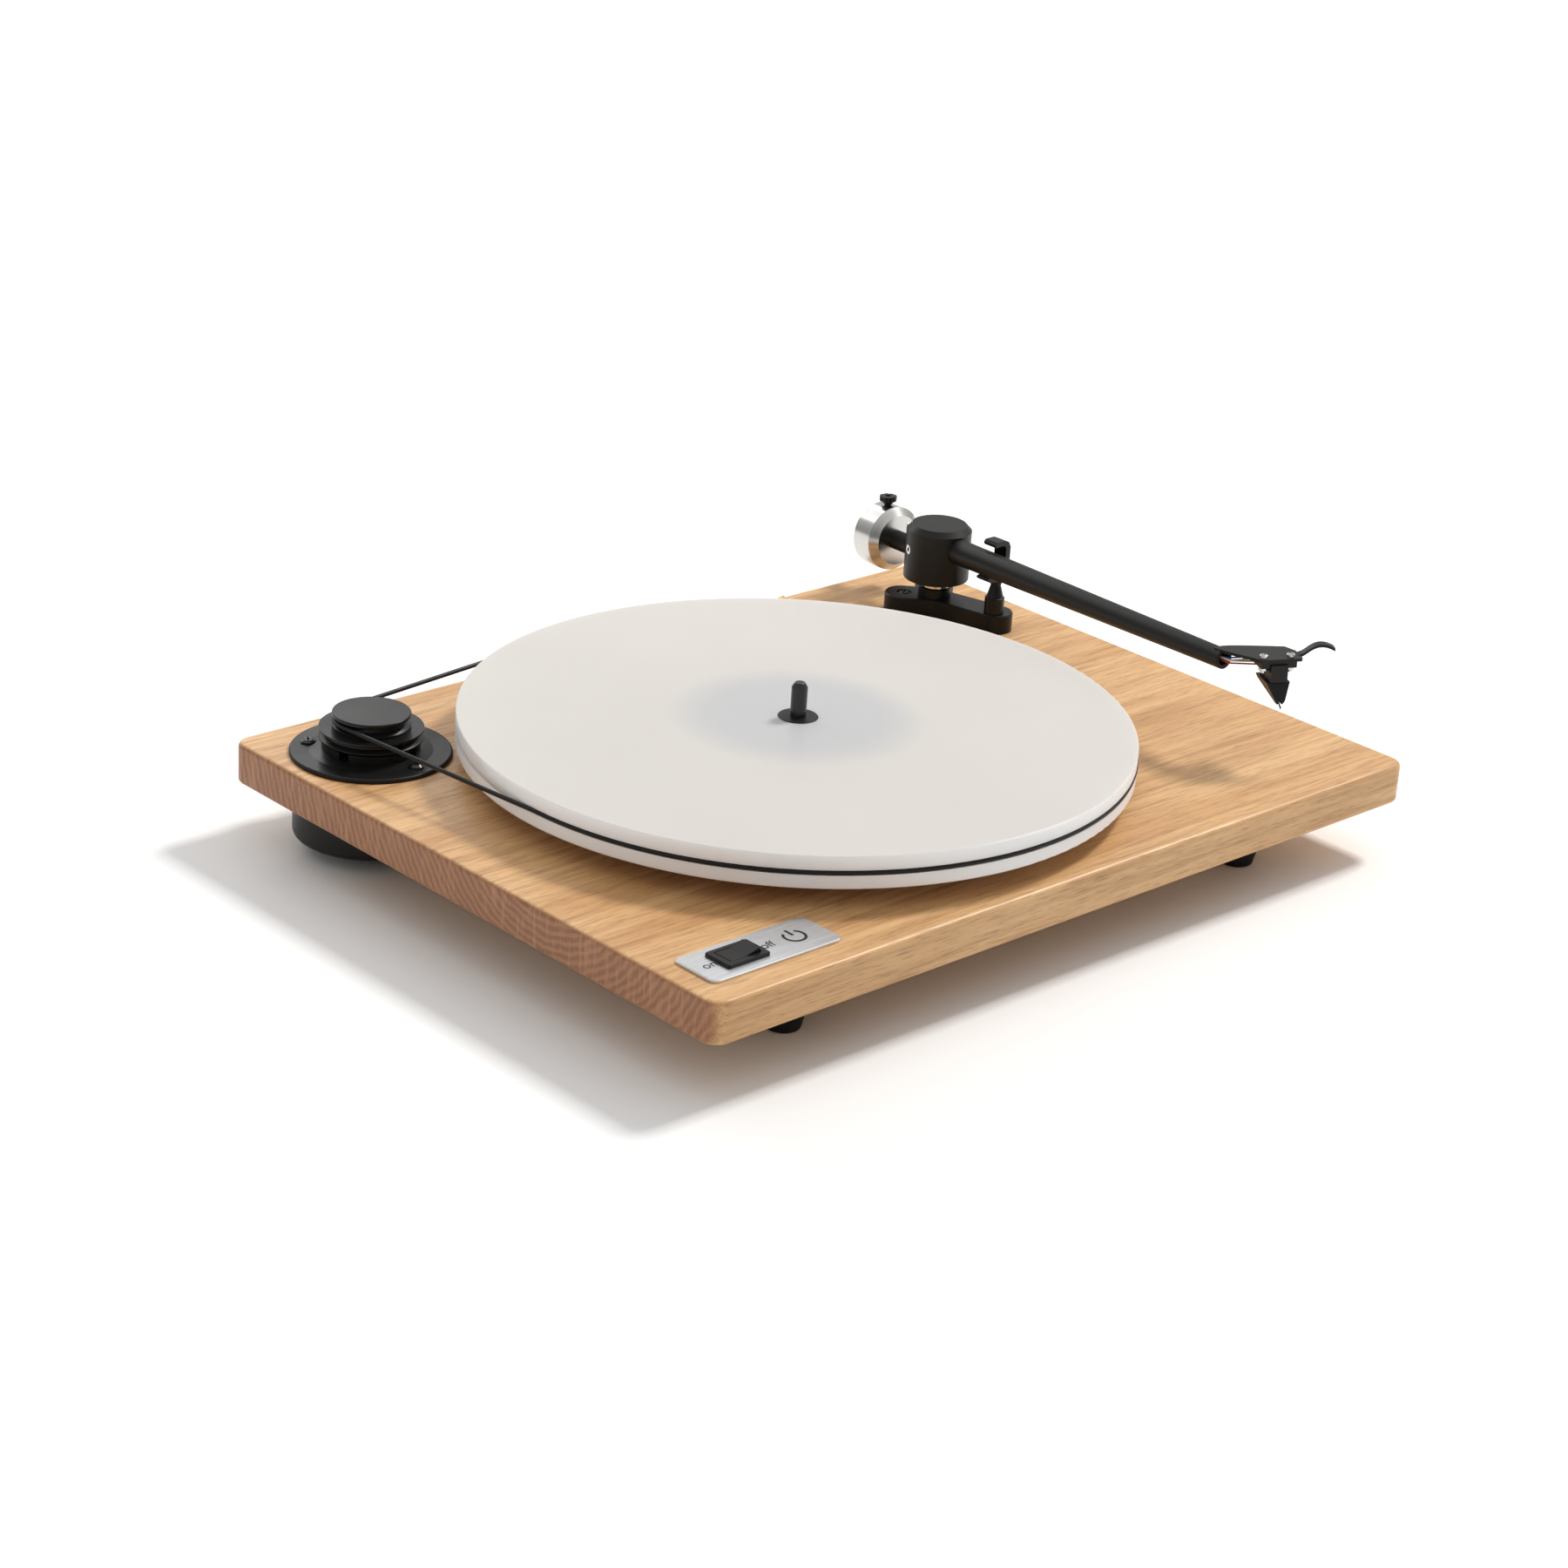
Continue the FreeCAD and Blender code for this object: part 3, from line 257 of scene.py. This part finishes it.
def oakMaterial():
    mat, tree, shader = newMaterial("satinOak")
    broad = noise(tree, placed(tree, scale=(0.8, 8.0, 8.0)), 7.0, 5.0, 0.55, 0.6)
    fineGrain = noise(tree, placed(tree, scale=(1.0, 22.0, 22.0)), 13.0, 7.0, 0.7, 0.3)
    pores = noise(tree, placed(tree, scale=(1.0, 20.0, 20.0)), 78.0, 3.0, 0.6)
    # boards glued side by side, each a slightly different tone
    step = calc(tree, "FLOOR", calc(tree, "DIVIDE", separated(tree, onObject(tree))["Y"], oakSizes["boardWidth"]))
    pick = add(tree, "ShaderNodeTexWhiteNoise", noise_dimensions="1D")
    feed(tree, pick.inputs["W"], step)
    tone = mixColour(tree, spread(tree, broad, 0.34, 0.64), oakSizes["midTone"], oakSizes["lightTone"])
    tone = mixColour(tree, spread(tree, pick.outputs["Value"], 0.0, 1.0, 0.0, 0.3), tone, oakSizes["warmTone"])
    tone = mixColour(tree, spread(tree, fineGrain, 0.46, 0.66, 0.0, 0.6), tone, oakSizes["streakTone"])
    tone = mixColour(tree, spread(tree, pores, 0.54, 0.66, 0.0, 0.5), tone, oakSizes["poreTone"])
    # end grain where the surface faces along X: curved year rings and rays
    endMask = spread(tree, calc(tree, "ABSOLUTE", facing(tree, "X")), 0.45, 0.9)
    year = add(tree, "ShaderNodeTexWave", wave_type="RINGS", rings_direction="X")
    feedAll(tree, year.inputs, {"Vector": placed(tree, move=(0.0, 0.06, -0.09)), "Scale": 85.0, "Distortion": 3.5,
                                "Detail": 4.0, "Detail Scale": 1.4})
    speck = noise(tree, placed(tree, scale=(1.0, 1.0, 1.6)), 900.0, 4.0, 0.7)
    rays = noise(tree, placed(tree, scale=(1.0, 14.0, 1.6), turn=(0.75, 0, 0)), 30.0, 4.0, 0.6)
    endTone = mixColour(tree, spread(tree, year.outputs["Fac"], 0.2, 0.9), oakSizes["endTone"], oakSizes["endLight"])
    endTone = mixColour(tree, spread(tree, speck, 0.52, 0.66, 0.0, 0.5), endTone, oakSizes["poreTone"])
    endTone = mixColour(tree, spread(tree, rays, 0.5, 0.68, 0.0, 0.5), endTone, oakSizes["rayTone"])
    feedAll(tree, shader.inputs, {"Base Color": mixColour(tree, endMask, tone, endTone),
                                  "Roughness": spread(tree, fineGrain, 0.3, 0.7, 0.38, 0.52),
                                  "Specular IOR Level": 0.4, "Coat Weight": 0.12, "Coat Roughness": 0.3})
    bump(tree, shader, pores, 0.3, 0.0002)
    return mat


# platter sheet: frosted faces, a painted glow on the rim where light gathers in the acrylic, and a painted shade over
# the middle where the black hub dimly shows through
acrylicSizes = {
    "darkTone": (0.60, 0.575, 0.545),
    "lightTone": (0.655, 0.63, 0.595),
    "hubShadeTone": (0.50, 0.505, 0.52),
    "rimGlowTone": (0.95, 0.95, 0.955),
    "hubShadeInner": 0.036,
    "hubShadeOuter": 0.062,
    "hubShadeDepth": 0.85,
    "glowDepth": 0.012,
}


def acrylicMaterial():
    mat, tree, shader = newMaterial("frostedAcrylic")
    finish = useGroup(tree, finishGroup, {"Grain Size": 2200.0, "Cloud Size": 9.0, "Rough Low": 0.34,
                                          "Rough High": 0.44})
    centre = (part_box("platter")[0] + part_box("platter")[1]) / 2
    distance = fromAxis(tree, placed(tree, move=(-centre.x, -centre.y, 0)))[0]
    # painted shade: the sheet's colour darkens towards the middle, over the black hub underneath
    hubShade = spread(tree, distance, acrylicSizes["hubShadeInner"], acrylicSizes["hubShadeOuter"], acrylicSizes["hubShadeDepth"],
                      0.0, "SMOOTHSTEP")
    tone = mixColour(tree, finish["Cloud"], acrylicSizes["darkTone"], acrylicSizes["lightTone"])
    tone = mixColour(tree, hubShade, tone, acrylicSizes["hubShadeTone"])
    # painted glow: faces that do not face up get a near-white tone for the light gathering in the acrylic's edge
    tone = mixColour(tree, spread(tree, facing(tree, "Z"), 0.35, 0.95), acrylicSizes["rimGlowTone"], tone)
    feedAll(tree, shader.inputs, {"Base Color": tone, "Roughness": finish["Roughness"], "Subsurface Weight": 0.3,
                                  "Subsurface Radius": (1.0, 1.0, 1.0), "Subsurface Scale": acrylicSizes["glowDepth"],
                                  "IOR": 1.49})
    bump(tree, shader, finish["Grain"], 0.12, 0.00003)
    return mat


print("materials")
# the way the arm's rear end points, which is the counterweight's axis
backward = Vector((0.0993, 0.994, -0.0436)).normalized()
oak = oakMaterial()
acrylic = acrylicMaterial()
mouldedBlack = coatedMaterial("mouldedBlack", (0.006, 0.006, 0.006), (0.012, 0.0115, 0.011), 0.32, 0.42,
                              specular=0.28)
baseBlack = coatedMaterial("baseBlack", (0.006, 0.006, 0.006), (0.013, 0.0125, 0.012), 0.28, 0.38, specular=0.24)
satinBlack = coatedMaterial("satinBlackCoat", (0.009, 0.0085, 0.008), (0.016, 0.015, 0.014), 0.36, 0.46, 2600.0,
                            0.00003, 0.3, specular=0.25)
rubberBlack = coatedMaterial("footRubber", (0.006, 0.006, 0.006), (0.012, 0.012, 0.012), 0.55, 0.7, 1800.0, 0.00008,
                             0.5, specular=0.25)
beltRubber = coatedMaterial("beltRubber", (0.004, 0.004, 0.004), (0.009, 0.009, 0.009), 0.4, 0.5, 3000.0, 0.00002,
                            0.3, specular=0.3)
screwBlack = coatedMaterial("blackScrew", (0.008, 0.008, 0.008), (0.018, 0.018, 0.018), 0.2, 0.3, 3000.0, 0.00002,
                            0.2, specular=0.6)
plateAlu = brushedMaterial("brushedAluminium", (0.62, 0.63, 0.65), (0.78, 0.79, 0.81), 0.34, 0.46, (1.0, 60.0, 60.0),
                           40.0)
screwSteel = brushedMaterial("screwSteel", (0.55, 0.55, 0.54), (0.75, 0.75, 0.74), 0.22, 0.34, (30.0, 30.0, 1.0), 60.0)
weightSteel = turnedMaterial("turnedSteel", (0.56, 0.55, 0.53), (0.70, 0.69, 0.67), 0.16, 0.26, "counterweight",
                             backward)
polishedSteel = turnedMaterial("polishedSteel", (0.74, 0.74, 0.73), (0.86, 0.86, 0.85), 0.08, 0.14, "yaw_bearing",
                               (0, 0, 1))
goldPlate = brushedMaterial("goldPlate", (0.80, 0.52, 0.16), (0.95, 0.70, 0.30), 0.16, 0.26, (20.0, 20.0, 20.0), 50.0)
brassBar = brushedMaterial("turnedBrass", (0.70, 0.50, 0.20), (0.85, 0.65, 0.32), 0.2, 0.32, (20.0, 20.0, 1.0), 50.0)
wireTones = {"wire_red": (0.62, 0.03, 0.03), "wire_green": (0.04, 0.34, 0.10), "wire_white": (0.82, 0.80, 0.74),
             "wire_blue": (0.04, 0.12, 0.50)}

finishes = {
    "plinth": oak, "platter": acrylic, "feet": rubberBlack, "belt": beltRubber,
    "hub": mouldedBlack, "spindle": screwBlack, "motor_base_screws": screwBlack, "arm_base_screws": screwBlack,
    "motor_base": baseBlack, "pulley": baseBlack,
    "motor_can": satinBlack, "motor": screwSteel, "bearing_housing": brassBar, "thrust_ball": polishedSteel,
    "motor_shaft": polishedSteel, "switch_plate": plateAlu, "terminal_plate": plateAlu,
    "switch_body": mouldedBlack, "rocker": mouldedBlack, "power_inlet": mouldedBlack, "signal_sockets": goldPlate,
    "ground_post": goldPlate, "arm_base": baseBlack, "arm_rest": mouldedBlack, "pivot_post": polishedSteel,
    "yaw_bearing": polishedSteel, "drum": satinBlack, "arm_tube": satinBlack, "weight_stub": satinBlack,
    "headshell": satinBlack, "pickup_body": mouldedBlack, "stylus": mouldedBlack, "pickup_clips": goldPlate,
    "counterweight": weightSteel, "thumbscrew": mouldedBlack,
}
for name, obj in nodes.items():
    if name in wireTones:
        tone = wireTones[name]
        mat = coatedMaterial(name + "Cover", tuple(c * 0.85 for c in tone), tone, 0.3, 0.4)
    else:
        mat = finishes.get(name, screwSteel)
    obj.data.materials.clear()
    obj.data.materials.append(mat)


# printed marks on the switch plate: plain lettering and a power sign
markSizes = {
    "letterHeight": 0.0066,
    "onGap": 0.0037,
    "offGap": 0.0046,
    "lift": 0.00006,
    "signGap": 0.01922,
    "signRadius": 0.0052,
    "signStroke": 0.0012,
    "signOpening": 76,
    "signSteps": 48,
    "barLow": 0.2,
    "barHigh": 1.15,
}


def makeMarks():
    low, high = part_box("switch_plate")
    bezelLow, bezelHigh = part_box("switch_body")
    level = high.z + markSizes["lift"]
    midY = (low.y + high.y) / 2
    form = bmesh.new()

    def placeText(word, x):
        curve = bpy.data.curves.new(word, "FONT")
        curve.body = word
        curve.size = markSizes["letterHeight"]
        curve.align_x = "CENTER"
        curve.align_y = "CENTER"
        holder = bpy.data.objects.new(word, curve)
        bpy.context.scene.collection.objects.link(holder)
        bpy.context.view_layer.update()
        mesh = bpy.data.meshes.new_from_object(holder.evaluated_get(bpy.context.evaluated_depsgraph_get()))
        mesh.transform(Matrix.Translation((x, midY, level)))
        form.from_mesh(mesh)
        bpy.data.objects.remove(holder)
        bpy.data.curves.remove(curve)
        bpy.data.meshes.remove(mesh)

    placeText("on", bezelLow.x - markSizes["onGap"])
    placeText("off", bezelHigh.x + markSizes["offGap"])
    # power sign: an open ring with an upright bar in its gap
    centre = Vector((bezelHigh.x + markSizes["signGap"], midY, level))
    outer = markSizes["signRadius"]
    inner = outer - markSizes["signStroke"]
    start = math.radians(90 + markSizes["signOpening"] / 2)
    sweep = math.radians(360 - markSizes["signOpening"])
    count = markSizes["signSteps"]
    rows = []
    for i in range(count + 1):
        a = start + sweep * i / count
        way = Vector((math.cos(a), math.sin(a), 0))
        rows.append((form.verts.new(centre + way * inner), form.verts.new(centre + way * outer)))
    for (a, b), (c, d) in zip(rows, rows[1:]):
        form.faces.new((a, b, d, c))
    half = markSizes["signStroke"] / 2
    foot, top = inner * markSizes["barLow"], outer * markSizes["barHigh"]
    bar = [(-half, foot), (half, foot), (half, top), (-half, top)]
    form.faces.new([form.verts.new(centre + Vector((x, y, 0))) for x, y in bar])
    bmesh.ops.recalc_face_normals(form, faces=form.faces)
    for face in form.faces:
        if face.normal.z < 0:
            face.normal_flip()
    mesh = bpy.data.meshes.new("plateMarks")
    form.to_mesh(mesh)
    form.free()
    mesh.materials.append(coatedMaterial("printedInk", (0.010, 0.010, 0.010), (0.020, 0.020, 0.020), 0.4, 0.5, 4000.0,
                                         0.00001, 0.1, specular=0.3))
    obj = bpy.data.objects.new("plateMarks", mesh)
    bpy.context.scene.collection.objects.link(obj)
    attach(obj, "chassis")


makeMarks()
print("marks")


# camera, floor and light

def cameraAt(place, axes, focal):
    data = bpy.data.cameras.new("camera")
    cam = bpy.data.objects.new("camera", data)
    bpy.context.scene.collection.objects.link(cam)
    cam.matrix_world = Matrix.Translation(place) @ Matrix(axes).transposed().to_4x4()
    data.lens = focal
    data.sensor_width = 36.0
    data.clip_end = 30.0
    bpy.context.scene.camera = cam


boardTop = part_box("plinth")[1].z
boardMid = (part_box("plinth")[0].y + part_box("plinth")[1].y) / 2
cameraSizes = {
    "fromBoard": (-1.04852, -1.05841, 0.61361),
    "right": (0.735253, -0.675270, 0.058427),
    "up": (0.224627, 0.324094, 0.918970),
    "back": (-0.639488, -0.662551, 0.389975),
    "lens": 83.184,
}
cameraAt(Vector((0, boardMid, boardTop)) + Vector(cameraSizes["fromBoard"]),
         (cameraSizes["right"], cameraSizes["up"], cameraSizes["back"]), cameraSizes["lens"])


floorSizes = {
    "halfWidth": 9.0,
    "darkTone": (0.93, 0.93, 0.93),
    "lightTone": (0.95, 0.95, 0.95),
}


def makeFloor():
    mesh = bpy.data.meshes.new("floor")
    form = bmesh.new()
    bmesh.ops.create_grid(form, x_segments=8, y_segments=8, size=floorSizes["halfWidth"])
    form.to_mesh(mesh)
    form.free()
    obj = bpy.data.objects.new("floor", mesh)
    bpy.context.scene.collection.objects.link(obj)
    mat, tree, shader = newMaterial("paleFloor")
    cloud = noise(tree, placed(tree), 3.0, 3.0)
    feedAll(tree, shader.inputs, {"Base Color": mixColour(tree, cloud, floorSizes["darkTone"], floorSizes["lightTone"]),
                                  "Roughness": 0.9, "Specular IOR Level": 0.1})
    mesh.materials.append(mat)


def softLight(name, place, target, size, power, tone):
    data = bpy.data.lights.new(name, "AREA")
    data.shape = "RECTANGLE"
    data.size = size[0]
    data.size_y = size[1]
    data.energy = power
    data.color = tone
    obj = bpy.data.objects.new(name, data)
    bpy.context.scene.collection.objects.link(obj)
    way = Vector(target) - Vector(place)
    obj.matrix_world = Matrix.Translation(place) @ way.to_track_quat("-Z", "Y").to_matrix().to_4x4()


makeFloor()
# each light: place, size, power, tone; all aim at the middle of the player
lightAim = (0, 0, 0.04)
lightSizes = {
    "key": ((2.34, -0.06, 2.76), (0.62, 0.62), 90.0, (1.0, 0.985, 0.96)),
    "backStrip": ((0.3, 1.9, 1.1), (1.6, 0.5), 9.0, (1.0, 1.0, 1.0)),
    "leftStrip": ((-1.9, -0.1, 0.8), (0.5, 0.5), 1.5, (1.0, 1.0, 1.0)),
}
for name, (place, size, power, tone) in lightSizes.items():
    softLight(name, place, lightAim, size, power, tone)


worldSizes = {
    "brightWay": (0.25, 0.2, 0.95),
    "dim": 0.22,
    "bright": 0.78,
    "tone": (1.0, 0.995, 0.985),
}


def studioWorld():
    # bright on the lit side and overhead, dimmer opposite, so that polished metal shows contrast
    world = bpy.data.worlds.new("studio")
    bpy.context.scene.world = world
    world.use_nodes = True
    tree = world.node_tree
    aim = add(tree, "ShaderNodeVectorMath", operation="DOT_PRODUCT")
    coord = add(tree, "ShaderNodeTexCoord")
    feedAll(tree, aim.inputs, {0: coord.outputs["Generated"], 1: worldSizes["brightWay"]})
    level = spread(tree, aim.outputs["Value"], -0.1, 0.9, worldSizes["dim"], worldSizes["bright"])
    feedAll(tree, tree.nodes["Background"].inputs, {0: worldSizes["tone"], 1: level})


studioWorld()
print("camera, floor and light")
bpy.context.scene.view_settings.view_transform = "Standard"

print("finishing")
